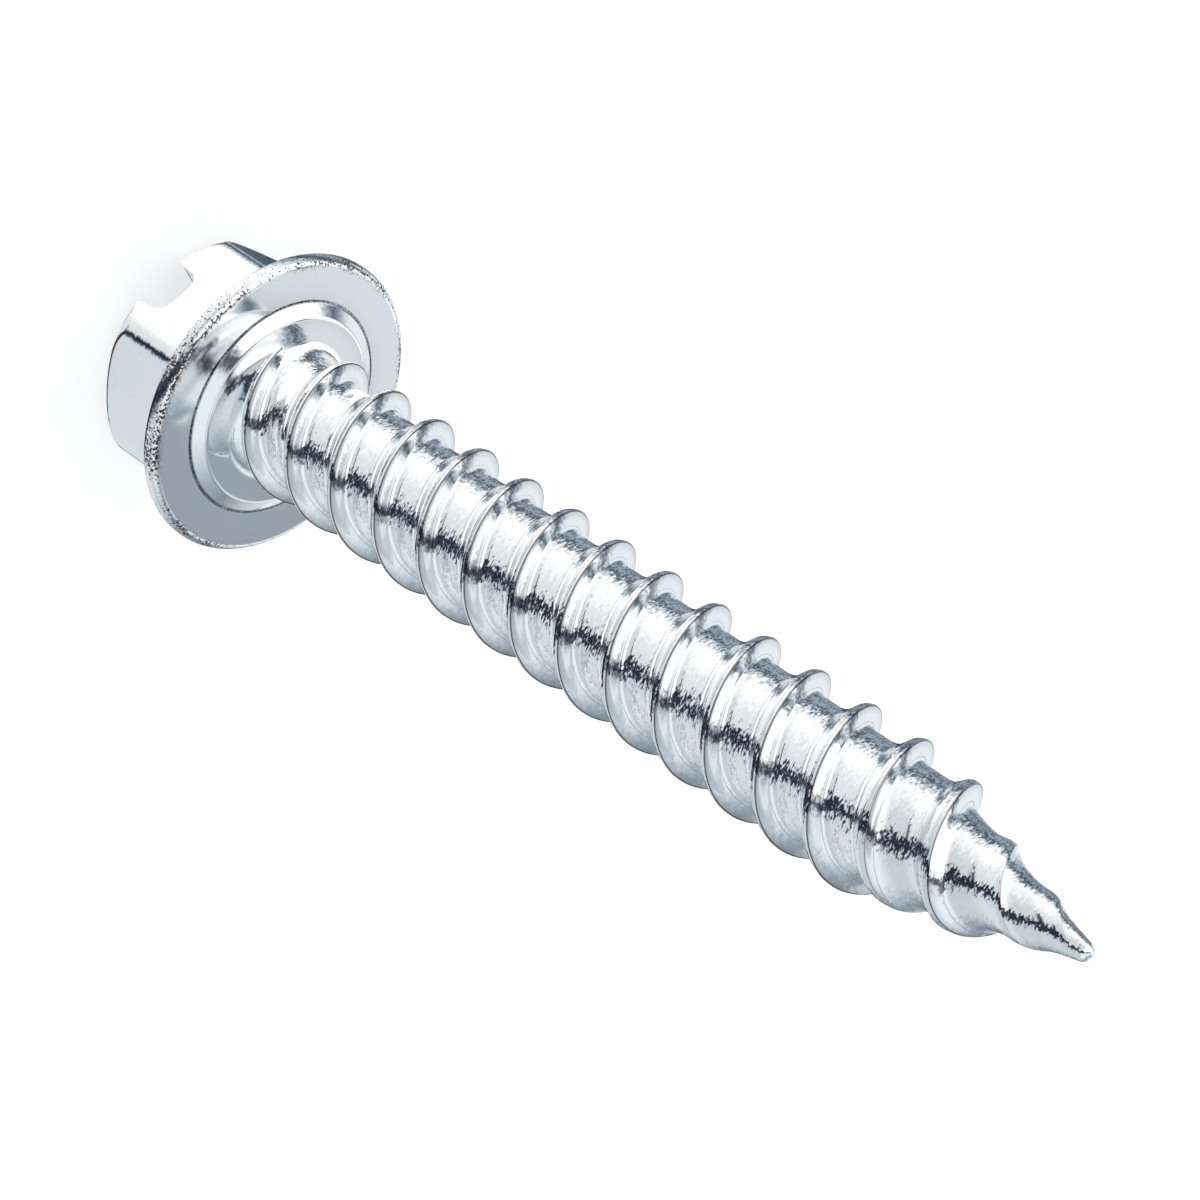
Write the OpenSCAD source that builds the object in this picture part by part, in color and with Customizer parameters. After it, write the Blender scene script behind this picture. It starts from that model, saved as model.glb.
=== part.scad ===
// Tapping screw with a slotted hex washer head and a twin-start thread.
// Each form is made around the axis, with the washer's bearing face at height 0, the head below
// it and the tip above. The whole screw is then lifted to stand on the flat top of its head.

/* [Shank] */
// Length from the bearing face of the washer to the tip
shank_length = 38.1; // [25:0.1:60]
// Diameter over the thread crests
thread_d = 5.45; // [5:0.05:6]
// Diameter of the core between the ridges
root_d = 4.1; // [3.6:0.05:4.6]
// Radius of the fillet where the core leaves the head
neck_fillet = 0.65; // [0.3:0.05:0.9]

/* [Thread] */
// Distance along the axis from one crest to the next
crest_spacing = 2.28; // [1.8:0.02:3]
// Ridges that wind side by side
thread_starts = 2; // [1:1:3]
// Width of the flat land on a crest
crest_land = 0.1; // [0.05:0.01:0.2]
// Run along the axis of the flank that faces the tip
tip_flank = 0.18; // [0.1:0.01:0.5]
// Run along the axis of the flank that faces the head
head_flank = 1; // [0.4:0.05:1.3]
// Height above the bearing face at which the ridges are full
run_in = 0.3; // [0.1:0.1:3]
// Turn of the thread from the middle of a hex flat
thread_turn = 145; // [0:1:359]

/* [Point] */
// Length of the tapered core, up to the tip
point_length = 7.6; // [4:0.1:12]
// Distance from the tip at which the ridges start to drop
drop_length = 8; // [5:0.1:12]
// How much nearer the tip the second ridge does so
second_lag = 3.2; // [0:0.1:4]
// Run over which they drop to their height on the point
drop_run = 2; // [0.5:0.1:4]
// Height of the ridges on the point, as a share of their full height
point_ridge = 0.45; // [0.2:0.05:1]
// How late the ridges sink into the tip, as a power
fade_power = 2.7; // [1:0.1:4]
// Radius of the rounded tip
tip_r = 0.35; // [0.15:0.05:0.5]

/* [Head] */
// Width across the hex flats
across_flats = 8.2; // [7:0.1:9]
// Height of the whole head, from the bearing face to the top
head_height = 4.9; // [4.2:0.1:7]
// Radius between neighbouring flats
corner_r = 0.8; // [0.3:0.05:1.2]
// Radius of the turned crown that rounds the top of the hex
crown_r = 1.4; // [0.6:0.05:2]

/* [Slot] */
// Width of the screwdriver slot
slot_width = 1.9; // [1.2:0.05:2.4]
// Depth of the slot below the top of the head
slot_depth = 1.6; // [1.2:0.05:2.4]
// Radius in the bottom corners of the slot
slot_floor_r = 0.55; // [0.1:0.05:0.7]
// Radius of the rolled edges along the slot
slot_edge_r = 0.85; // [0.1:0.05:0.9]
// Turn of the slot from the middle of a flat
slot_turn = 4; // [-30:1:30]

/* [Washer] */
// Diameter of the washer
washer_d = 11.3; // [10:0.1:13]
// Thickness of the washer at its rim
rim_thickness = 0.7; // [0.5:0.05:1.2]
// Radius that rounds both edges of the rim
rim_r = 0.3; // [0.1:0.05:0.5]
// Rise of the washer's back from its rim to the hex
back_rise = 0.3; // [0.1:0.05:0.6]

/* [Ring under the head] */
// Diameter of the raised ring on the bearing face
ring_d = 8.1; // [6.8:0.1:9]
// Run of the ring's sloped side
ring_slope = 0.5; // [0.2:0.05:0.8]
// Height of the ring above the bearing face
ring_height = 0.3; // [0.1:0.02:0.5]

/* [Hidden] */
steel = "#c9d2da";
$fn = 96;

// Points around the thread, and rows that round the tip
columns = 44;
cap_rows = 3;
// Depth by which one form runs into the next, and what a cut reaches past its edges
overlap = 0.3;
// How far the neck stands proud of the core
neck_step = 0.04;
// Least flat between the rounded edges of the rim
rim_flat = 0.05;
// Room between the hex corners and the blank that the crown is turned from
crown_room = 0.05;

root_r = root_d / 2;
thread_r = thread_d / 2;
washer_r = washer_d / 2;
neck_r = root_r + neck_step;
lead = crest_spacing * thread_starts;
cap_base = shank_length - tip_r;

flat_r = across_flats / 2;
corner_at = (flat_r - corner_r) / cos(30);
crown_outer = corner_at + corner_r + crown_room;
crown_at = crown_outer - crown_r;
rim_edge = min(rim_r, (rim_thickness - rim_flat) / 2);
rim_at = washer_r - rim_edge;
ring_r = ring_d / 2;
slot_edge_at = slot_width / 2 + slot_edge_r;

function limit(value, low, high) = min(max(value, low), high);

// One spacing of the thread's section: run along the axis from a crest, share of the ridge's height
foot = [0.6, 0.28];
hollow = [[0.7, 0.14], [0.35, 0.48]];
section = [
    [0, 1],
    [crest_land, 1],
    [crest_land + tip_flank * foot[0], foot[1]],
    [crest_land + tip_flank, 0],
    [crest_spacing - head_flank, 0],
    for (step = hollow) [crest_spacing - head_flank * step[0], step[1]]
];
section_rows = len(section);
hollow_row = section_rows - len(hollow);
spacings_below = thread_starts + ceil(overlap / crest_spacing);
spacings_above = ceil(cap_base / crest_spacing + thread_starts * thread_turn / 360);
rows = section_rows * (spacings_below + spacings_above) + 1;

// Radius of the core, which tapers to the tip
function core_r(z) =
    let (share = limit((z - shank_length + point_length) / (point_length - tip_r), 0, 1))
    root_r + (tip_r - root_r) * share;

// Height of a ridge, which rises out of the head and sinks into the point
function ridge_height(z, ridge) =
    let (rise = limit(z / run_in, 0, 1))
    let (lag = ridge % thread_starts == 1 ? second_lag : 0)
    let (drop = limit((z - shank_length + drop_length - lag) / drop_run, 0, 1))
    let (sunk = limit((z - shank_length + point_length) / (point_length - tip_r), 0, 1))
    (thread_r - root_r) * rise * (1 - (1 - point_ridge) * drop) * (1 - pow(sunk, fade_power));

// Height of the first crest on a column, which climbs by one lead in a turn
function crest_z(column) = lead * (column / columns - thread_turn / 360);

function thread_z(row, column) =
    let (spacings = floor(row / section_rows) - spacings_below)
    let (z = crest_z(column) + crest_spacing * spacings + section[row % section_rows][0])
    limit(z, -overlap, cap_base);

// A row belongs to the ridge behind it up to the tip flank's foot, and then to the next one
function ridge_of(row) = floor(row / section_rows) + (row % section_rows < hollow_row ? 0 : 1);

function round_point(r, column, z) =
    let (angle = 360 * column / columns)
    [r * cos(angle), r * sin(angle), z];

// The thread's own rows follow the ridges, so each turn's last column joins a later row of the first
function thread_index(row, column) =
    column < columns
        ? row * columns + column
        : min(row + section_rows * thread_starts, rows - 1) * columns;

function cap_index(row, column) = (rows - 1 + row) * columns + column % columns;

// Core, ridges and point in one, from inside the washer to the tip
module thread() {
    thread_points = [
        for (row = [0 : rows - 1], column = [0 : columns - 1])
            let (z = thread_z(row, column))
            let (height = ridge_height(z, ridge_of(row)) * section[row % section_rows][1])
            round_point(core_r(z) + height, column, z)
    ];
    cap_points = [
        for (row = [1 : cap_rows - 1], column = [0 : columns - 1])
            let (bend = 90 * row / cap_rows)
            round_point(tip_r * cos(bend), column, cap_base + tip_r * sin(bend))
    ];
    points = concat(thread_points, cap_points, [[0, 0, shank_length], [0, 0, -overlap]]);
    tip = len(points) - 2;
    base = len(points) - 1;
    thread_faces = [
        for (row = [0 : rows - 2], column = [0 : columns - 1])
            let (low = [thread_index(row, column), thread_index(row, column + 1)])
            let (high = [thread_index(row + 1, column), thread_index(row + 1, column + 1)])
            for (face = [[low[0], high[1], low[1]], [low[0], high[0], high[1]]])
                if (is_open(points, face)) face
    ];
    cap_faces = [
        for (row = [0 : cap_rows - 2], column = [0 : columns - 1])
            let (low = [cap_index(row, column), cap_index(row, column + 1)])
            let (high = [cap_index(row + 1, column), cap_index(row + 1, column + 1)])
            for (face = [[low[0], high[1], low[1]], [low[0], high[0], high[1]]])
                face
    ];
    end_faces = [
        for (column = [0 : columns - 1])
            let (next = (column + 1) % columns)
            for (face = [
                [cap_index(cap_rows - 1, column), tip, cap_index(cap_rows - 1, column + 1)],
                [base, column, next]
            ])
                face
    ];
    polyhedron(points, concat(thread_faces, cap_faces, end_faces));
}

// The ends of the thread squeeze some faces to nothing, and those are left out
function is_open(points, face) =
    points[face[0]] != points[face[1]]
    && points[face[1]] != points[face[2]]
    && points[face[2]] != points[face[0]];

// Section of the washer, with a rounded rim and a back that rises to the hex
module washer_section() {
    translate([0, -rim_thickness]) square([rim_at, rim_thickness]);
    translate([0, rim_edge - rim_thickness]) square([washer_r, rim_thickness - 2 * rim_edge]);
    for (z = [-rim_edge, rim_edge - rim_thickness])
        translate([rim_at, z]) circle(rim_edge);
    polygon([
        [0, -rim_thickness],
        [rim_at, -rim_thickness],
        [crown_outer, -rim_thickness - back_rise],
        [0, -rim_thickness - back_rise]
    ]);
}

// Section of the raised ring and the filleted neck on the bearing face
module neck_section() {
    polygon([
        [0, -overlap],
        [ring_r, -overlap],
        [ring_r, 0],
        [ring_r - ring_slope, ring_height],
        [0, ring_height]
    ]);
    difference() {
        square([neck_r + neck_fillet, ring_height + neck_fillet]);
        translate([neck_r + neck_fillet, ring_height + neck_fillet]) circle(neck_fillet);
    }
}

// Outline of the hex, with its corners rounded
module hex_outline() {
    side_half = flat_r * tan(30) - corner_r * tan(30);
    polygon([
        for (flat = [0 : 5], end = [-1, 1])
            let (angle = 60 * flat)
            [
                flat_r * cos(angle) - end * side_half * sin(angle),
                flat_r * sin(angle) + end * side_half * cos(angle)
            ]
    ]);
    for (corner = [0 : 5])
        rotate(60 * corner + 30) translate([corner_at, 0]) circle(corner_r);
}

// Section of the turned crown, which rounds the top of the hex
module crown_section() {
    translate([0, crown_r - head_height]) square([crown_outer, head_height - crown_r]);
    translate([0, -head_height]) square([crown_at, head_height]);
    translate([crown_at, crown_r - head_height]) circle(crown_r);
}

// Section of the slot, with round floor corners and rolled edges
module slot_section() {
    floor_z = slot_depth - head_height;
    mouth_z = -head_height - overlap;
    corner_z = floor_z - slot_floor_r;
    floor_half = slot_width / 2 - slot_floor_r;
    translate([-slot_width / 2, mouth_z]) square([slot_width, corner_z - mouth_z]);
    translate([-floor_half, mouth_z]) square([2 * floor_half, floor_z - mouth_z]);
    for (side = [-1, 1])
        translate([side * floor_half, corner_z]) circle(slot_floor_r);
    difference() {
        translate([-slot_edge_at, mouth_z]) square([2 * slot_edge_at, slot_edge_r + overlap]);
        for (side = [-1, 1])
            translate([side * slot_edge_at, slot_edge_r - head_height]) circle(slot_edge_r);
    }
}

module head() {
    difference() {
        union() {
            rotate_extrude() {
                washer_section();
                neck_section();
            }
            intersection() {
                translate([0, 0, -head_height])
                    linear_extrude(head_height - overlap) hex_outline();
                rotate_extrude() crown_section();
            }
        }
        rotate([90, 0, slot_turn - 90])
            linear_extrude(washer_d, center = true) slot_section();
    }
}

module screw() {
    color(steel)
        translate([0, 0, head_height]) {
            head();
            thread();
        }
}

screw();
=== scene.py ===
import math

import bmesh
import bpy
from mathutils import Matrix, Vector


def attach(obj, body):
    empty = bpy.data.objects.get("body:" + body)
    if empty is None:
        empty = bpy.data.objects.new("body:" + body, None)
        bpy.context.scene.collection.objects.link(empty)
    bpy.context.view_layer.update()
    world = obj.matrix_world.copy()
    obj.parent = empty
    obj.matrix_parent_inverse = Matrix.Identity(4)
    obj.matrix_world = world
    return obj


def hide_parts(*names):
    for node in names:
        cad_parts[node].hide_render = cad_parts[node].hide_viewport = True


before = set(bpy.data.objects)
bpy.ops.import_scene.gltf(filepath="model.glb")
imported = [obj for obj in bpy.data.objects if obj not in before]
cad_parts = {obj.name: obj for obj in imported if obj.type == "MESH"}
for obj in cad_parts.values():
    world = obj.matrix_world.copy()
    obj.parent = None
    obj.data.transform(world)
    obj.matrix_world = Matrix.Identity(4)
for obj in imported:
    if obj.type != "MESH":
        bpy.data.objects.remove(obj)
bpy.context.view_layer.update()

# The zinc plate
# Cold-formed steel with a thin bright coat of zinc, a little blue. The rolling leaves short ripples
# around the axis, and the coat is rubbed to dark specks on the rim, which knocks about in the bin.
# Thin near-black lines along the crests are painted reflection, and the line round the ring's crease is
# painted shade.
mm = 0.001
zinc_colour = (0.94, 0.955, 0.965, 1)
dull_colour = (0.91, 0.925, 0.935, 1)
worn_colour = (0.09, 0.075, 0.07, 1)
zinc_roughness = (0.06, 0.12)
ripple_length = 0.26 * mm
ripple_width = 0.08 * mm
ripple_tilt = 0.5
grit_size = 0.07 * mm
grit_tilt = 0.5
rolled_reach = (3.2 * mm, 3.6 * mm)
headed_share = 0.38
# Near-black of the painted lines: painted reflection along the crests and painted shade in the ring's
# crease
painted_line_colour = (0.05, 0.06, 0.075, 1)
worn_speck = 0.085 * mm
worn_patch = 2 * mm
patch_pull = 0.5
worn_side = (-0.72, -0.69, 0)
worn_side_spread = (0.8, 0.98)
worn_side_pull = 0.115
rim_from = 5.2 * mm
rim_full = 5.45 * mm
rim_edge = 5.48 * mm
rim_edge_spread = (0.04 * mm, 0.12 * mm)
rim_edge_pull = 0.075
rubbed_through = (0.83, 0.90)
rubbed_roughness = 0.4
mottle_spread = (0.3, 0.7)
# A painted shade line round the crease at the foot of the raised ring, broken up by the specks
crease_radius = 4.06 * mm
crease_width = 0.07 * mm
crease_from = 4.8 * mm
crease_spread = (0.35, 0.6)
crease_strength = (0.65, 1)
noise_middle = 0.5
zinc = bpy.data.materials.new("bright_zinc")
zinc.use_nodes = True


def joined(tree, node, inputs):
    """Fills a node's inputs with sockets or plain values, and gives its first output."""
    for place, value in enumerate(inputs):
        if isinstance(value, bpy.types.NodeSocket):
            tree.links.new(value, node.inputs[place])
        elif value is not None:
            node.inputs[place].default_value = value
    return node.outputs[0]


def number(tree, operation, *inputs):
    node = tree.nodes.new("ShaderNodeMath")
    node.operation = operation
    return joined(tree, node, inputs)


def vector(tree, operation, *inputs):
    node = tree.nodes.new("ShaderNodeVectorMath")
    node.operation = operation
    result = joined(tree, node, inputs)
    return node.outputs["Value"] if operation in ("LENGTH", "DOT_PRODUCT") else result


def share_between(tree, value, low, high, at_low=0.0, at_high=1.0):
    node = tree.nodes.new("ShaderNodeMapRange")
    return joined(tree, node, (value, low, high, at_low, at_high))


def grain(tree, place, size, detail):
    """Noise whose spots have that size along each axis."""
    node = tree.nodes.new("ShaderNodeTexNoise")
    node.inputs["Scale"].default_value = 1
    node.inputs["Detail"].default_value = detail
    tree.links.new(vector(tree, "DIVIDE", place, size), node.inputs["Vector"])
    return node.outputs["Fac"]


def blended(tree, share, first, second):
    node = tree.nodes.new("ShaderNodeMix")
    node.data_type = "RGBA"
    for socket, value in (("Factor_Float", share), ("A_Color", first), ("B_Color", second)):
        entry = next(entry for entry in node.inputs if entry.identifier == socket)
        if isinstance(value, bpy.types.NodeSocket):
            tree.links.new(value, entry)
        else:
            entry.default_value = value
    return next(output for output in node.outputs if output.identifier == "Result_Color")


def coat_with_zinc(tree):
    shader = tree.nodes["Principled BSDF"]
    shader.inputs["Metallic"].default_value = 1
    place = tree.nodes.new("ShaderNodeTexCoord").outputs["Object"]
    facing = tree.nodes.new("ShaderNodeNewGeometry").outputs["Normal"]

    around = vector(tree, "NORMALIZE", vector(tree, "CROSS_PRODUCT", (0, 0, 1), place))
    ripple = grain(tree, place, (ripple_length, ripple_length, ripple_width), 1)
    grit = grain(tree, place, (2 * grit_size, 2 * grit_size, grit_size), 1)
    uneven = number(tree, "MULTIPLY", number(tree, "SUBTRACT", ripple, noise_middle), ripple_tilt)
    grit_sway = number(tree, "SUBTRACT", grit, noise_middle)
    uneven = number(tree, "MULTIPLY_ADD", grit_sway, grit_tilt, uneven)
    sideways = vector(tree, "LENGTH", vector(tree, "MULTIPLY", facing, (1, 1, 0)))
    from_axis = vector(tree, "LENGTH", vector(tree, "MULTIPLY", place, (1, 1, 0)))
    on_shank = share_between(tree, from_axis, *rolled_reach, 1, headed_share)
    on_sides = number(tree, "MULTIPLY", on_shank, number(tree, "MULTIPLY", sideways, sideways))
    tilt = number(tree, "MULTIPLY", uneven, on_sides)
    sway = tree.nodes.new("ShaderNodeVectorMath")
    sway.operation = "SCALE"
    tree.links.new(around, sway.inputs[0])
    tree.links.new(tilt, sway.inputs["Scale"])
    rippled = vector(tree, "NORMALIZE", vector(tree, "ADD", facing, sway.outputs[0]))
    tree.links.new(rippled, shader.inputs["Normal"])

    on_rim = share_between(tree, from_axis, rim_from, rim_full)
    specks = grain(tree, place, (worn_speck, worn_speck, worn_speck), 4)
    patches = grain(tree, place, (worn_patch, worn_patch, worn_patch), 2)
    outward = vector(tree, "NORMALIZE", vector(tree, "MULTIPLY", place, (1, 1, 0)))
    towards_worn = vector(tree, "DOT_PRODUCT", outward, worn_side)
    on_worn_side = share_between(tree, towards_worn, *worn_side_spread)
    edge_gap = number(tree, "ABSOLUTE", number(tree, "SUBTRACT", from_axis, rim_edge))
    on_edge = share_between(tree, edge_gap, *rim_edge_spread, 1, 0)
    reach = number(tree, "MULTIPLY_ADD", patches, patch_pull, specks)
    reach = number(tree, "MULTIPLY_ADD", on_worn_side, worn_side_pull, reach)
    reach = number(tree, "MULTIPLY_ADD", on_edge, rim_edge_pull, reach)
    rubbed = number(tree, "MULTIPLY", share_between(tree, reach, *rubbed_through), on_rim)
    # Painted lines: a painted dark reflection along the thread's crests, and painted shade in the ring's
    # crease
    crest_painted_line = tree.nodes.new("ShaderNodeAttribute")
    crest_painted_line.attribute_name = "crest_painted_line"
    mottled = blended(tree, share_between(tree, specks, *mottle_spread), dull_colour, zinc_colour)
    # Painted shade in the ring's crease, on the bearing side only
    crease_gap = number(tree, "ABSOLUTE", number(tree, "SUBTRACT", from_axis, crease_radius))
    painted_crease_shade = share_between(tree, crease_gap, crease_width / 2, crease_width, 1, 0)
    broken = share_between(tree, specks, *crease_spread, *crease_strength)
    painted_crease_shade = number(tree, "MULTIPLY", painted_crease_shade, broken)
    height = vector(tree, "DOT_PRODUCT", place, (0, 0, 1))
    painted_crease_shade = number(tree, "MULTIPLY", painted_crease_shade, number(tree, "GREATER_THAN", height, crease_from))
    painted_lines = number(tree, "MAXIMUM", crest_painted_line.outputs["Fac"], painted_crease_shade)
    coat = blended(tree, painted_lines, mottled, painted_line_colour)
    tree.links.new(blended(tree, rubbed, coat, worn_colour), shader.inputs["Base Color"])
    dull = share_between(tree, patches, *mottle_spread, *zinc_roughness)
    rough = number(tree, "MULTIPLY_ADD", rubbed, rubbed_roughness, dull)
    tree.links.new(rough, shader.inputs["Roughness"])


coat_with_zinc(zinc.node_tree)


# The shank
# A steel wire blank whose thread is rolled between dies: two ridges wind side by side, each with a
# steep flank towards the tip and a hollow one towards the head, and sink into a gimlet point.
head_height = 4.9 * mm
shank_sizes = {
    "Shank length": 38.1 * mm,
    "Crest radius": 2.725 * mm,
    "Core radius": 2.05 * mm,
    "Crest spacing": 2.28 * mm,
    "Run in": 0.3 * mm,
    "Point length": 7.6 * mm,
    "Drop length": 8 * mm,
    "Second lag": 3.2 * mm,
    "Drop run": 2 * mm,
    "Point ridge": 0.45,
    "Fade power": 2.7,
    "Tip radius": 0.35 * mm,
    "Sunk depth": 0.3 * mm,
    "Head height": head_height,
}
shank_counts = {"Starts": 2, "Columns": 144, "Rows in a spacing": 24, "Spacings": 23}
thread_turn = 145 / 360
spacings_below = 4
# The first part of a spacing belongs to the ridge before it, and the rest to the ridge after it
valley_place = 0.4
point_softness = 0.85
point_edge_fade = 0.6
closing_bend = 0.48 * math.pi
closing_share = 0.03
thread_merge = 0.0003 * mm

# Share of the spacing from one crest to the next, and share of the ridge's height there
ridge_section = [
    (0, 0.985),
    (0.006, 1),
    (0.038, 1),
    (0.045, 0.975),
    (0.07, 0.58),
    (0.092, 0.29),
    (0.12, 0.12),
    (0.16, 0.035),
    (0.21, 0),
    (0.52, 0),
    (0.6, 0.03),
    (0.7, 0.15),
    (0.79, 0.42),
    (0.87, 0.72),
    (0.94, 0.92),
    (1, 0.985),
]
# The same on the point, where the dies leave the ridges rounder
point_section = [
    (0, 0.97),
    (0.02, 1),
    (0.06, 0.96),
    (0.14, 0.70),
    (0.24, 0.34),
    (0.34, 0.10),
    (0.46, 0),
    (0.6, 0.03),
    (0.8, 0.42),
    (0.93, 0.83),
    (1, 0.97),
]
# Share of a spacing's rows, and the share of the spacing where that row lies
row_places = [
    (0, 0),
    (0.083, 0.01),
    (0.167, 0.036),
    (0.208, 0.044),
    (0.25, 0.048),
    (0.292, 0.053),
    (0.5, 0.14),
    (0.67, 0.55),
    (0.83, 0.9),
    (1, 1),
]
# Share of the spacing, and how strong the painted dark reflection line is on the edges of a crest's land
painted_line_section = [
    (0, 0.2),
    (0.01, 0),
    (0.034, 0),
    (0.041, 1),
    (0.049, 1),
    (0.054, 0),
    (0.95, 0),
    (0.98, 0.35),
    (1, 0.2),
]


def drawn_curve(tree, value, points, handle):
    node = tree.nodes.new("ShaderNodeFloatCurve")
    line = node.mapping.curves[0]
    while len(line.points) < len(points):
        line.points.new(0.5, 0.5)
    for point, place in zip(line.points, points):
        point.location = place
        point.handle_type = handle
    node.mapping.update()
    return joined(tree, node, (1.0, value))


def thread_tree(sizes, counts):
    """The shank as a sheet of rows that follow the ridges, wound round the axis."""
    tree = bpy.data.node_groups.new("rolled_thread", "GeometryNodeTree")
    tree.interface.new_socket("Geometry", in_out="INPUT", socket_type="NodeSocketGeometry")
    for name in sizes:
        tree.interface.new_socket(name, in_out="INPUT", socket_type="NodeSocketFloat")
    for name in counts:
        tree.interface.new_socket(name, in_out="INPUT", socket_type="NodeSocketInt")
    tree.interface.new_socket("Geometry", in_out="OUTPUT", socket_type="NodeSocketGeometry")
    given = tree.nodes.new("NodeGroupInput").outputs

    def calc(operation, *inputs):
        return number(tree, operation, *inputs)

    rows = calc("ADD", calc("MULTIPLY", given["Spacings"], given["Rows in a spacing"]), 1)
    sheet = tree.nodes.new("GeometryNodeMeshGrid")
    joined(tree, sheet, (1, 1, calc("ADD", given["Columns"], 1), rows))
    spot = tree.nodes.new("ShaderNodeSeparateXYZ")
    tree.links.new(tree.nodes.new("GeometryNodeInputPosition").outputs[0], spot.inputs[0])
    sheet_half = 0.5
    turn = calc("ADD", spot.outputs["X"], sheet_half)
    up_sheet = calc("ADD", spot.outputs["Y"], sheet_half)
    row = calc("ROUND", calc("MULTIPLY", up_sheet, calc("SUBTRACT", rows, 1)))
    half_row = 0.5
    spacing = calc("FLOOR", calc("DIVIDE", calc("ADD", row, half_row), given["Rows in a spacing"]))
    step = calc("SUBTRACT", calc("DIVIDE", row, given["Rows in a spacing"]), spacing)

    place = drawn_curve(tree, step, row_places, "VECTOR")
    sharp_ridge = drawn_curve(tree, place, ridge_section, "AUTO_CLAMPED")
    round_ridge = drawn_curve(tree, place, point_section, "AUTO_CLAMPED")
    climb = calc("MULTIPLY", given["Starts"], calc("SUBTRACT", turn, thread_turn))
    spacings_up = calc("ADD", calc("ADD", calc("SUBTRACT", spacing, spacings_below), place), climb)
    run = calc("MULTIPLY", spacings_up, given["Crest spacing"])

    cap_base = calc("SUBTRACT", given["Shank length"], given["Tip radius"])
    base = calc("MULTIPLY", given["Sunk depth"], -1)
    height = calc("MINIMUM", calc("MAXIMUM", run, base), cap_base)
    point_base = calc("SUBTRACT", given["Shank length"], given["Point length"])
    core = share_between(tree, height, point_base, cap_base, given["Core radius"], given["Tip radius"])
    sunk = calc("POWER", share_between(tree, height, point_base, cap_base), given["Fade power"])
    rise = share_between(tree, height, 0.0, given["Run in"])
    ridge_count = calc("ADD", spacing, calc("GREATER_THAN", place, valley_place))
    is_second = calc("LESS_THAN", calc("MODULO", ridge_count, given["Starts"]), 0.5)
    drop_base = calc("SUBTRACT", given["Shank length"], given["Drop length"])
    drop_base = calc("ADD", drop_base, calc("MULTIPLY", is_second, given["Second lag"]))
    drop = share_between(tree, height, drop_base, calc("ADD", drop_base, given["Drop run"]))
    softer = calc("MULTIPLY", drop, point_softness)
    rounding = calc("SUBTRACT", round_ridge, sharp_ridge)
    ridge = calc("ADD", sharp_ridge, calc("MULTIPLY", softer, rounding))
    full = calc("SUBTRACT", given["Crest radius"], given["Core radius"])
    lost_share = calc("MULTIPLY", drop, calc("SUBTRACT", 1, given["Point ridge"]))
    kept_share = calc("SUBTRACT", 1, lost_share)
    kept_share = calc("MULTIPLY", kept_share, calc("SUBTRACT", 1, sunk))
    ridge_height = calc("MULTIPLY", calc("MULTIPLY", full, rise), kept_share)
    radius = calc("ADD", core, calc("MULTIPLY", ridge_height, ridge))
    # A painted dark reflection line on the edges of each crest, fainter on the point
    painted_crest_line = drawn_curve(tree, place, painted_line_section, "VECTOR")
    edge_strength = calc("SUBTRACT", 1, calc("MULTIPLY", drop, point_edge_fade))
    painted_crest_line = calc("MULTIPLY", painted_crest_line, edge_strength)

    # Rows that all but reach the axis go right to it, so that both ends close in one point
    bend_end = calc("ADD", cap_base, given["Crest spacing"])
    bend = share_between(tree, run, cap_base, bend_end, 0, math.pi / 2)
    at_tip = calc("GREATER_THAN", bend, closing_bend)
    bend = calc("MAXIMUM", bend, calc("MULTIPLY", at_tip, math.pi / 2))
    under = calc("DIVIDE", calc("SUBTRACT", base, run), given["Core radius"])
    open_share = calc("SUBTRACT", 1, calc("MINIMUM", calc("MAXIMUM", under, 0), 1))
    open_share = calc("MULTIPLY", open_share, calc("GREATER_THAN", open_share, closing_share))
    closed = calc("MULTIPLY", calc("MULTIPLY", radius, calc("COSINE", bend)), open_share)
    lift = calc("ADD", calc("MULTIPLY", given["Tip radius"], calc("SINE", bend)), given["Head height"])
    angle = calc("MULTIPLY", turn, 2 * math.pi)
    wound = tree.nodes.new("ShaderNodeCombineXYZ")
    across = calc("MULTIPLY", closed, calc("COSINE", angle))
    along = calc("MULTIPLY", closed, calc("SINE", angle))
    joined(tree, wound, (across, along, calc("ADD", height, lift)))

    # Kept for the material, which paints the dark reflection line with it
    kept = tree.nodes.new("GeometryNodeStoreNamedAttribute")
    kept.data_type = "FLOAT"
    kept.inputs["Name"].default_value = "crest_painted_line"
    tree.links.new(sheet.outputs["Mesh"], kept.inputs["Geometry"])
    tree.links.new(painted_crest_line, kept.inputs["Value"])
    moved = tree.nodes.new("GeometryNodeSetPosition")
    tree.links.new(kept.outputs["Geometry"], moved.inputs["Geometry"])
    tree.links.new(wound.outputs[0], moved.inputs["Position"])
    merged = tree.nodes.new("GeometryNodeMergeByDistance")
    merged.inputs["Distance"].default_value = thread_merge
    realized = tree.nodes.new("GeometryNodeRealizeInstances")
    coated = tree.nodes.new("GeometryNodeSetMaterial")
    coated.inputs["Material"].default_value = zinc
    chain = [moved, merged, realized, coated, tree.nodes.new("NodeGroupOutput")]
    for before, after in zip(chain, chain[1:]):
        tree.links.new(before.outputs[0], after.inputs[0])
    return tree


def plain_mesh(piece):
    """The piece's evaluated shape as a mesh of its own, with no modifiers left on it."""
    bpy.context.view_layer.update()
    finished = piece.evaluated_get(bpy.context.evaluated_depsgraph_get())
    shape = bpy.data.meshes.new_from_object(finished)
    piece.modifiers.clear()
    piece.data = shape
    return piece


def new_piece(name, mesh):
    piece = bpy.data.objects.new(name, mesh)
    bpy.context.scene.collection.objects.link(piece)
    return piece


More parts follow.
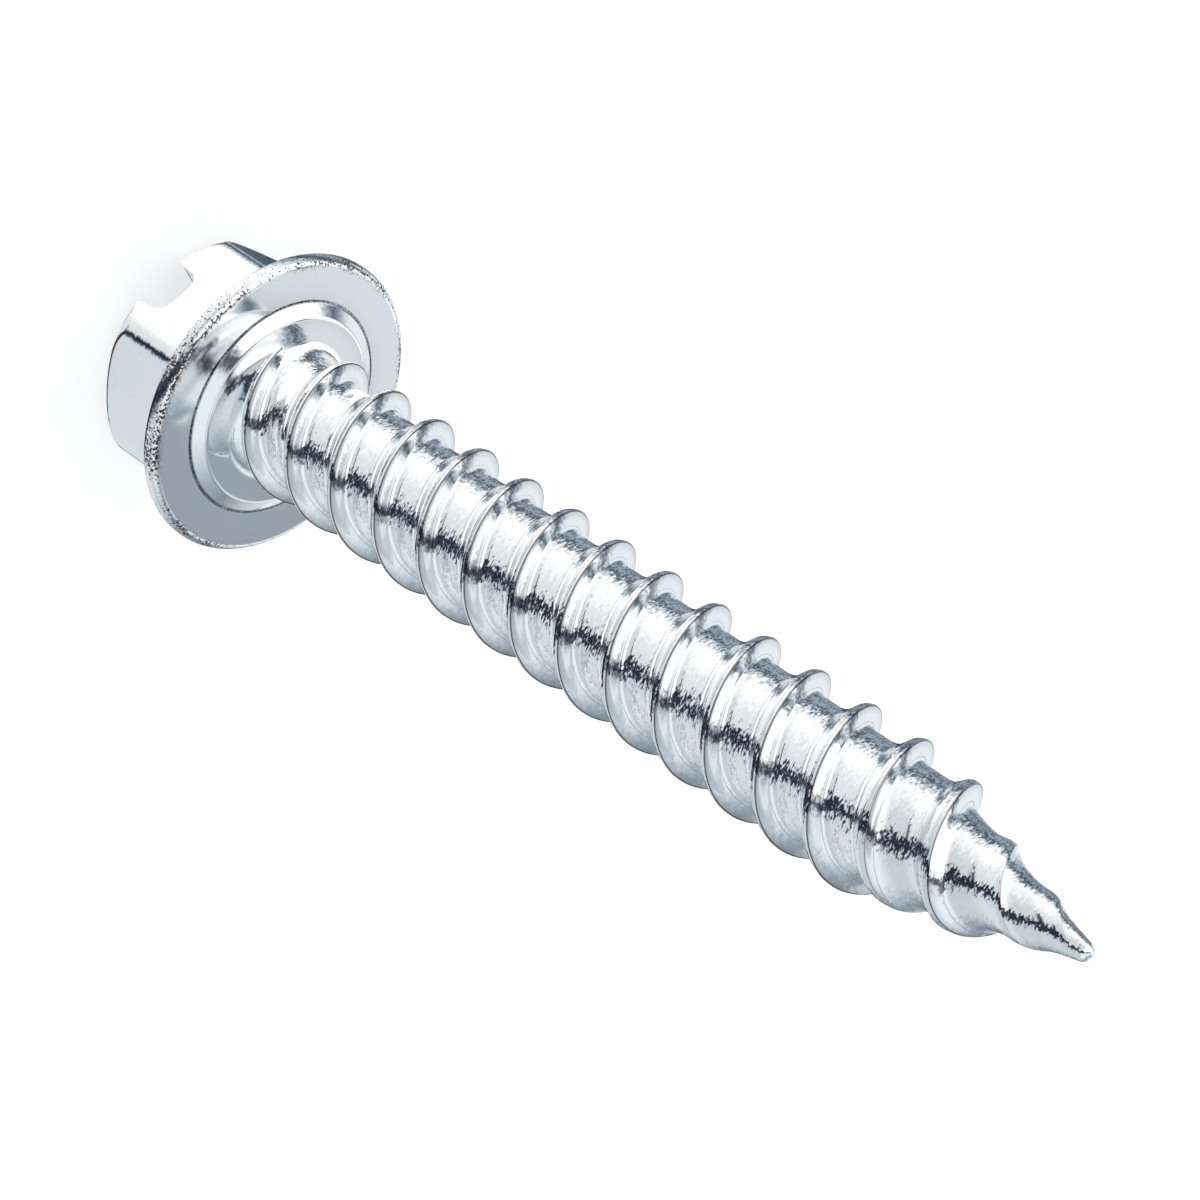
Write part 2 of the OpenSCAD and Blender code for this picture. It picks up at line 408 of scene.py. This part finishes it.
screw = new_piece("screw_fine", bpy.data.meshes.new("screw_fine"))
rolled = screw.modifiers.new("rolled_thread", "NODES")
rolled.node_group = thread_tree(shank_sizes, shank_counts)
for socket in rolled.node_group.interface.items_tree:
    if socket.in_out == "INPUT" and socket.name != "Geometry":
        rolled[socket.identifier] = {**shank_sizes, **shank_counts}[socket.name]
plain_mesh(screw)


# The washer and the neck
# The flange is upset from the same blank as the hex. Its underside bears on the sheet, with a low
# raised ring inside and a small fillet up to the core of the shank.
washer_radius = 5.65 * mm
rim_thickness = 0.7 * mm
rim_radius = 0.3 * mm
back_rise = 0.3 * mm
ring_radius = 4.05 * mm
ring_slope = 0.5 * mm
ring_height = 0.3 * mm
ring_edge = 0.07 * mm
neck_radius = 2.09 * mm
neck_fillet = 0.65 * mm
hex_seat = 4.66 * mm
washer_sides = 192
arc_steps = 10
ease_steps = 4
ease_hold = 1.3


def arc(centre, radius, start, end):
    """Points of an arc in the plane of radius and height, angles in degrees."""
    points = []
    for step in range(arc_steps + 1):
        turn = math.radians(start + (end - start) * step / arc_steps)
        points.append((centre[0] + radius * math.cos(turn), centre[1] + radius * math.sin(turn)))
    return points


def bent(start, corner, end):
    """Points of a soft bend from start to end that leans towards the corner."""
    shares = [step / ease_steps for step in range(ease_steps + 1)]
    return [start * (1 - s) ** 2 + corner * 2 * s * (1 - s) + end * s**2 for s in shares]


def eased(before, corner, after, size):
    """A small rounding of a corner, with a point on each side that keeps the faces beside it flat."""
    before, corner, after = Vector(before), Vector(corner), Vector(after)
    back_step = (before - corner).normalized() * size
    next_step = (after - corner).normalized() * size
    rounded = bent(corner + back_step, corner, corner + next_step)
    held = [corner + back_step * ease_hold, *rounded, corner + next_step * ease_hold]
    return [tuple(point) for point in held]


def turned(name, section, sides):
    """A solid of revolution around the axis, from a section that starts and ends on it."""
    shape = bmesh.new()
    rings = []
    for radius, height in section:
        if radius == 0:
            rings.append([shape.verts.new((0, 0, height))] * sides)
            continue
        ring = []
        for side in range(sides):
            turn = 2 * math.pi * side / sides
            ring.append(shape.verts.new((radius * math.cos(turn), radius * math.sin(turn), height)))
        rings.append(ring)
    for inner, outer in zip(rings, rings[1:]):
        for side in range(sides):
            after = (side + 1) % sides
            corners = [inner[side], outer[side], outer[after], inner[after]]
            shape.faces.new(list(dict.fromkeys(corners)))
    bmesh.ops.recalc_face_normals(shape, faces=shape.faces)
    mesh = bpy.data.meshes.new(name)
    shape.to_mesh(mesh)
    shape.free()
    return new_piece(name, mesh)


bearing = head_height
back = bearing - rim_thickness
rim_at = washer_radius - rim_radius
neck_top = bearing + ring_height + neck_fillet
washer_section = [(0, back - back_rise), (hex_seat, back - back_rise), (rim_at, back)]
washer_section += arc((rim_at, back + rim_radius), rim_radius, -90, 0)
washer_section += arc((rim_at, bearing - rim_radius), rim_radius, 0, 90)
ring_foot = (ring_radius, bearing)
ring_top = (ring_radius - ring_slope, bearing + ring_height)
neck_foot = (neck_radius + neck_fillet, bearing + ring_height)
washer_section += eased((rim_at, bearing), ring_foot, ring_top, ring_edge)
washer_section += eased(ring_foot, ring_top, neck_foot, ring_edge)
washer_section += arc((neck_radius + neck_fillet, neck_top), neck_fillet, 270, 180)
washer_section += [(0, neck_top)]
washer = turned("washer", washer_section, washer_sides)


# The hex
# Cold-headed in one with the washer: six flats with rounded corners for a socket, and a turned crown
# that rounds the top. The screw stands on that top here.
flat_radius = 4.1 * mm
corner_radius = 0.8 * mm
crown_radius = 1.4 * mm
edge_round = 0.12 * mm
hex_sides = 240
crown_steps = 24
hex_merge = 0.0005 * mm
half_side = math.radians(30)
corner_at = (flat_radius - corner_radius) / math.cos(half_side)
crown_at = hex_seat - crown_radius
hex_foot = back - back_rise / 2


def hex_radius(turn):
    """Reach of the hex from the axis, with its corners rounded."""
    from_flat = (turn + half_side) % (2 * half_side) - half_side
    from_corner = half_side - abs(from_flat)
    flat = flat_radius / math.cos(from_flat)
    side = corner_at * math.sin(from_corner)
    round_end = corner_at * math.cos(from_corner) + math.sqrt(max(corner_radius**2 - side**2, 0))
    on_corner = abs(side) < corner_radius * math.sin(half_side)
    return min(flat, round_end) if on_corner else flat


def crown_height(radius):
    return crown_radius - math.sqrt(crown_radius**2 - max(radius - crown_at, 0) ** 2)


def hex_path(turn):
    """Heights and radii from the middle of the top, over the crown and up a flat."""
    reach = hex_radius(turn)
    corner = Vector((reach, crown_height(reach)))
    slope = math.asin((reach - crown_at) / crown_radius)
    before = corner - edge_round * Vector((math.cos(slope), math.sin(slope)))
    after = corner + edge_round * Vector((0, 1))
    radii = [before.x * step / crown_steps for step in range(crown_steps)]
    path = [(radius, crown_height(radius)) for radius in radii]
    path += [tuple(point) for point in bent(before, corner, after)]
    return path + [(reach, hex_foot), (0, hex_foot)]


hex_shape = bmesh.new()
hex_columns = []
for side in range(hex_sides):
    turn = 2 * math.pi * side / hex_sides
    places = [(r * math.cos(turn), r * math.sin(turn), z) for r, z in hex_path(turn)]
    hex_columns.append([hex_shape.verts.new(place) for place in places])
for side in range(hex_sides):
    here, there = hex_columns[side], hex_columns[(side + 1) % hex_sides]
    for step in range(len(here) - 1):
        hex_shape.faces.new((here[step], there[step], there[step + 1], here[step + 1]))
bmesh.ops.remove_doubles(hex_shape, verts=hex_shape.verts, dist=hex_merge)
bmesh.ops.recalc_face_normals(hex_shape, faces=hex_shape.faces)
hex_mesh = bpy.data.meshes.new("hex")
hex_shape.to_mesh(hex_mesh)
hex_shape.free()
hex_body = new_piece("hex", hex_mesh)


# The slot
# A screwdriver slot pressed right across the top while the head is formed. The punch leaves a round
# floor and rolled edges, and the slot lies a few degrees off the line across two flats.
slot_width = 1.9 * mm
slot_depth = 1.6 * mm
slot_floor_radius = 0.55 * mm
slot_edge_radius = 0.85 * mm
slot_turn = math.radians(4)
slot_reach = 6 * mm
# The rolled edges meet the top at a hair's breadth below it, so that no faces lie in one plane
top_gap = 0.003 * mm

half = slot_width / 2
floor_half = half - slot_floor_radius
edge_at = half + slot_edge_radius
slot_side = arc((edge_at, slot_edge_radius + top_gap), slot_edge_radius, 270, 180)
slot_side += arc((floor_half, slot_depth - slot_floor_radius), slot_floor_radius, 0, 90)
slot_side = [(edge_at, -slot_depth)] + slot_side
slot_outline = slot_side + [(-x, z) for x, z in reversed(slot_side)]
slot_shape = bmesh.new()
slot_ends = []
for reach in (-slot_reach, slot_reach):
    slot_ends.append([slot_shape.verts.new((reach, x, z)) for x, z in slot_outline])
for end in slot_ends:
    slot_shape.faces.new(end)
for place in range(len(slot_outline)):
    after = (place + 1) % len(slot_outline)
    near, far = slot_ends
    slot_shape.faces.new((near[place], near[after], far[after], far[place]))
bmesh.ops.recalc_face_normals(slot_shape, faces=slot_shape.faces)
slot_shape.transform(Matrix.Rotation(slot_turn, 4, "Z"))
slot_mesh = bpy.data.meshes.new("slot")
slot_shape.to_mesh(slot_mesh)
slot_shape.free()
slot_cutter = new_piece("slot", slot_mesh)


# The whole screw
# Shank, washer and hex are one piece of steel, and the slot is pressed into it. The zinc is plated on
# last, so one coat covers all of it.
sharp_edge = math.radians(40)
for operation, other in (("UNION", washer), ("UNION", hex_body), ("DIFFERENCE", slot_cutter)):
    cut = screw.modifiers.new(other.name, "BOOLEAN")
    cut.operation = operation
    cut.solver = "MANIFOLD"
    cut.object = other
plain_mesh(screw)
for other in (washer, hex_body, slot_cutter):
    bpy.data.objects.remove(other)
screw.data.materials.clear()
screw.data.materials.append(zinc)
screw.data.polygons.foreach_set("use_smooth", [True] * len(screw.data.polygons))
screw.data.set_sharp_from_angle(angle=sharp_edge)
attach(screw, "root")
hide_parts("screw")


# The floor
# A plain matt table top that the screw stands on, lit to show white. It keeps a soft shadow under the
# head, and the metal mirrors the tent in its place.
table_half = 1.5
table_colour = (0.5, 0.5, 0.5, 1)
table_glow = 0.62
corners = [(-1, -1), (1, -1), (1, 1), (-1, 1)]
floor_mesh = bpy.data.meshes.new("floor")
floor_mesh.from_pydata([(x * table_half, y * table_half, 0) for x, y in corners], [], [range(4)])
floor = new_piece("floor", floor_mesh)
floor.visible_glossy = False
white = bpy.data.materials.new("white_table")
white.use_nodes = True
white.node_tree.nodes.remove(white.node_tree.nodes["Principled BSDF"])
table_matt = white.node_tree.nodes.new("ShaderNodeBsdfDiffuse")
table_matt.inputs["Color"].default_value = table_colour
table_light = white.node_tree.nodes.new("ShaderNodeEmission")
rays = white.node_tree.nodes.new("ShaderNodeLightPath").outputs
seen = number(white.node_tree, "MAXIMUM", rays["Is Camera Ray"], rays["Is Transmission Ray"])
glow = number(white.node_tree, "MULTIPLY", seen, table_glow)
white.node_tree.links.new(glow, table_light.inputs["Strength"])
table_sum = white.node_tree.nodes.new("ShaderNodeAddShader")
white.node_tree.links.new(table_matt.outputs[0], table_sum.inputs[0])
white.node_tree.links.new(table_light.outputs[0], table_sum.inputs[1])
white.node_tree.links.new(table_sum.outputs[0], white.node_tree.nodes["Material Output"].inputs["Surface"])
floor_mesh.materials.append(white)


# The light
# A soft white tent of cloth panels all round. They fan out from the main view's line of sight, so that
# the metal mirrors them as bands along the shank: white, pale, a dark gap and a blue-grey side.
fan_centre = (0.758, 0.302, -0.578)
tent_colour = (0.92, 0.95, 0.98, 1)
gap_colour = (0.02, 0.028, 0.045, 1)
pale_colour = (0.73, 0.77, 0.80, 1)
shade_colour = (0.32, 0.37, 0.42, 1)
# Degrees round the fan, and the light of the panel there, for the shank and for the thread's flanks
shank_panels = [
    (0, (0.84, 0.88, 0.91)),
    (104, (0.84, 0.88, 0.91)),
    (113, (0.48, 0.55, 0.62)),
    (120, (0.40, 0.47, 0.54)),
    (125, (0.32, 0.39, 0.46)),
    (130, (0.08, 0.12, 0.17)),
    (138, (0.46, 0.54, 0.61)),
    (147, (0.03, 0.05, 0.08)),
    (154, (0.50, 0.58, 0.65)),
    (160, (0.95, 0.98, 1.0)),
    (165, (1.4, 1.4, 1.4)),
    (174, (1.35, 1.35, 1.35)),
    (194, (0.93, 0.95, 0.96)),
    (210, (0.84, 0.87, 0.89)),
    (213, (0.40, 0.45, 0.52)),
    (215.5, (0.03, 0.04, 0.065)),
    (223, (0.015, 0.02, 0.04)),
    (227, (0.22, 0.26, 0.32)),
    (230, (0.72, 0.78, 0.83)),
    (243, (0.80, 0.855, 0.895)),
    (262, (0.80, 0.855, 0.895)),
    (275, (0.64, 0.71, 0.77)),
    (288, (0.44, 0.50, 0.56)),
    (303, (0.27, 0.32, 0.37)),
    (325, (0.6, 0.66, 0.7)),
    (345, (0.84, 0.88, 0.91)),
]
flank_panels = [
    (0, (0.84, 0.89, 0.92)),
    (136, (0.84, 0.89, 0.92)),
    (143, (0.40, 0.47, 0.53)),
    (149, (0.06, 0.08, 0.11)),
    (156, (0.5, 0.57, 0.63)),
    (163, (1.5, 1.5, 1.5)),
    (210, (1.5, 1.5, 1.5)),
    (216, (0.05, 0.06, 0.09)),
    (223, (0.05, 0.06, 0.09)),
    (228, (0.86, 0.92, 0.96)),
    (262, (0.84, 0.90, 0.94)),
    (276, (0.62, 0.69, 0.74)),
    (292, (0.38, 0.44, 0.49)),
    (308, (0.24, 0.29, 0.34)),
    (328, (0.6, 0.66, 0.7)),
    (345, (0.84, 0.89, 0.92)),
]
# Sine of the height above the fan's middle, and the share of the panels' light there
height_shades = [
    (-1, (0.86, 0.86, 0.86)),
    (0.12, (0.92, 0.92, 0.92)),
    (0.3, (0.76, 0.77, 0.78)),
    (0.5, (0.76, 0.77, 0.78)),
    (0.64, (1, 1, 1)),
]
# The panels twist with height as the thread does, so that the bands run straight over its flanks
thread_climb = 0.3
narrowest = 0.01
# Sines of the height between which the flanks' panels take over, and the bands shift a little
flank_rises = (0.5, 0.68)
later_rises = (0.3, 0.7)
later_turn = math.radians(4)
# The raised ring and the bearing face mirror a patch of their own, pale on one side and in shade on
# the other
face_rises = (0.975, 0.995)
face_sides = (-0.03, 0.005)
ring_rise = 0.857
ring_spread = (0.007, 0.014)
ring_strength = 0.85
ring_sides = (-0.35, 0.3)
ring_shades = (0.95, 0.5)
# Dark gaps between the panels for the point and for the crown, in degrees round the fan
point_rises = ((0.2, 0.216), (0.24, 0.26))
point_gap_turns = ((193, 199), (229, 233))
crown_rises = (-0.3, -0.12)
crown_gap_turns = ((204, 209), (235, 240))
# The dark hem of the tent round the line of sight, wider on the lower side
lower_sides = (-0.3, 0.1)
hem_starts = (0.12, 0.24)
hem_ends = (0.28, 0.46)


def spread(tree, value):
    node = tree.nodes.new("ShaderNodeCombineXYZ")
    return joined(tree, node, (value, value, value))


def ramp(tree, value, stops):
    node = tree.nodes.new("ShaderNodeValToRGB")
    entries = node.color_ramp.elements
    while len(entries) < len(stops):
        entries.new(0.5)
    for entry, (position, colour) in zip(entries, stops):
        entry.position = position
        entry.color = (*colour, 1)
    return joined(tree, node, (value,))


def round_fan(panels):
    return [(degrees / 360, colour) for degrees, colour in panels]


def between(tree, value, opening, closing):
    """1 from the end of the opening to the start of the closing, and 0 outside both."""
    opened = share_between(tree, value, *opening)
    return number(tree, "MINIMUM", opened, share_between(tree, value, *closing, 1, 0))


world = bpy.data.worlds.new("studio")
world.use_nodes = True
bpy.context.scene.world = world
tent = world.node_tree
direction = tent.nodes.new("ShaderNodeTexCoord").outputs["Generated"]
from_centre = vector(tent, "SUBTRACT", direction, fan_centre)
split = tent.nodes.new("ShaderNodeSeparateXYZ")
tent.links.new(vector(tent, "NORMALIZE", from_centre), split.inputs[0])
rise = split.outputs["Z"]
narrowing = number(tent, "MULTIPLY", number(tent, "MULTIPLY", rise, rise), 1 + thread_climb**2)
narrowing = number(tent, "SQRT", number(tent, "MAXIMUM", number(tent, "SUBTRACT", 1, narrowing), narrowest))
twist = number(tent, "ARCTAN2", number(tent, "MULTIPLY", rise, thread_climb), narrowing)
angle = number(tent, "ADD", number(tent, "ARCTAN2", split.outputs["Y"], split.outputs["X"]), twist)
later = share_between(tent, rise, *later_rises, 0, later_turn)
turns = number(tent, "DIVIDE", number(tent, "SUBTRACT", angle, later), 2 * math.pi)
turn = number(tent, "FRACT", turns)
shank_light = ramp(tent, turn, round_fan(shank_panels))
flank_light = ramp(tent, turn, round_fan(flank_panels))
on_flank = share_between(tent, rise, *flank_rises)
panel_light = blended(tent, on_flank, shank_light, flank_light)
height_stops = [((sine + 1) / 2, colour) for sine, colour in height_shades]
height_light = ramp(tent, share_between(tent, rise, -1, 1), height_stops)
panel_light = vector(tent, "MULTIPLY", panel_light, height_light)

to_side = share_between(tent, split.outputs["Y"], *face_sides)
face_light = blended(tent, to_side, shade_colour, pale_colour)
from_ring = number(tent, "ABSOLUTE", number(tent, "SUBTRACT", rise, ring_rise))
ring_shade = share_between(tent, split.outputs["X"], *ring_sides, *ring_shades)
ring_light = vector(tent, "MULTIPLY", face_light, spread(tent, ring_shade))
on_ring = share_between(tent, from_ring, *ring_spread, ring_strength, 0)
panel_light = blended(tent, on_ring, panel_light, ring_light)

degree_turn = number(tent, "MULTIPLY", turn, 360)
on_point = between(tent, rise, *point_rises)
point_gap = number(tent, "MULTIPLY", on_point, between(tent, degree_turn, *point_gap_turns))
on_crown = share_between(tent, rise, *crown_rises, 1, 0)
crown_gap = number(tent, "MULTIPLY", on_crown, between(tent, degree_turn, *crown_gap_turns))
gaps = number(tent, "MAXIMUM", point_gap, crown_gap)
panel_light = blended(tent, gaps, panel_light, gap_colour)
on_face = share_between(tent, rise, *face_rises)
seen_light = blended(tent, on_face, panel_light, face_light)

lower = share_between(tent, split.outputs["Y"], *lower_sides, 1, 0)
hem_start = share_between(tent, lower, 0, 1, *hem_starts)
hem_end = share_between(tent, lower, 0, 1, *hem_ends)
past_hem = share_between(tent, vector(tent, "LENGTH", from_centre), hem_start, hem_end)
seen_light = blended(tent, past_hem, gap_colour, seen_light)
mirrored = tent.nodes.new("ShaderNodeLightPath").outputs["Is Glossy Ray"]
tent_light = blended(tent, mirrored, tent_colour, seen_light)
tent.links.new(tent_light, tent.nodes["Background"].inputs["Color"])


# The camera
# A long lens that looks down along the shank from beyond the tip. It is turned so that the screw lies
# across the picture, with its tip down to the right.
aim = Vector((-0.231, 0.58, 20.784)) * mm
distance = 145.235 * mm
azimuth = math.radians(201.73)
elevation = math.radians(35.28)
roll = math.radians(123.95)
camera = bpy.data.objects.new("camera", bpy.data.cameras.new("camera"))
bpy.context.scene.collection.objects.link(camera)
camera.data.sensor_width = 36
camera.data.lens = 132.9
camera.data.clip_start = 1 * mm
level = math.cos(elevation)
towards = Vector((level * math.cos(azimuth), level * math.sin(azimuth), math.sin(elevation)))
facing = towards.to_track_quat("Z", "Y").to_matrix().to_4x4()
stand = Matrix.Translation(aim + distance * towards)
camera.matrix_world = stand @ facing @ Matrix.Rotation(roll, 4, "Z")
bpy.context.scene.camera = camera
bpy.context.scene.view_settings.view_transform = "Standard"
